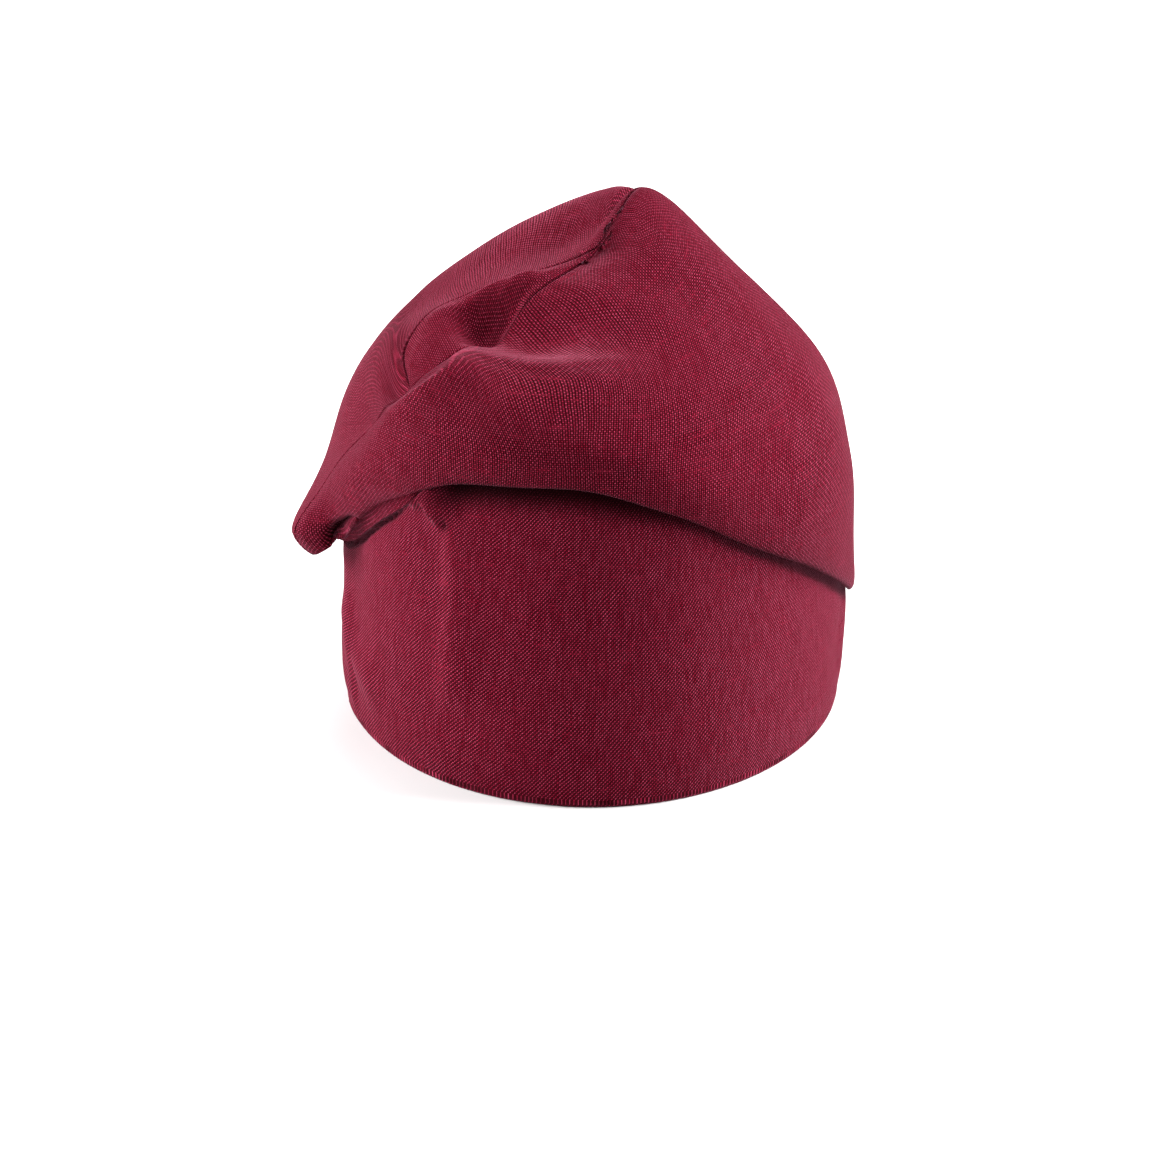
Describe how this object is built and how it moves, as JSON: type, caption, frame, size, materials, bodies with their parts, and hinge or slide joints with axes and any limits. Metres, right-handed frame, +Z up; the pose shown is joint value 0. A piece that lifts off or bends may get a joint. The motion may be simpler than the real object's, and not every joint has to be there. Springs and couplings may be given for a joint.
{
  "type": "aso-oke cap (fila)",
  "caption": "Soft woven cloth cap with a plain standing band, spare height folded over it to one side, and a pointed crown seam.",
  "frame": {"origin": "under the middle of the whole cap's box, at the height of the rim's bottom edge, which rests on the surface", "axes": "+Z up through the crown; -Y towards the front, where the band stands tallest; -X towards the open tip of the fold"},
  "size_m": [0.1922, 0.2132, 0.1804],
  "materials": {
    "aso_oke_cloth": "matt wine-red hand-woven cotton in plain weave, with slubs and a soft fuzz"
  },
  "bodies": {
    "root": {"front_panel": "aso_oke_cloth", "back_panel": "aso_oke_cloth", "crown_panel": "aso_oke_cloth"}
  },
  "joints": []
}
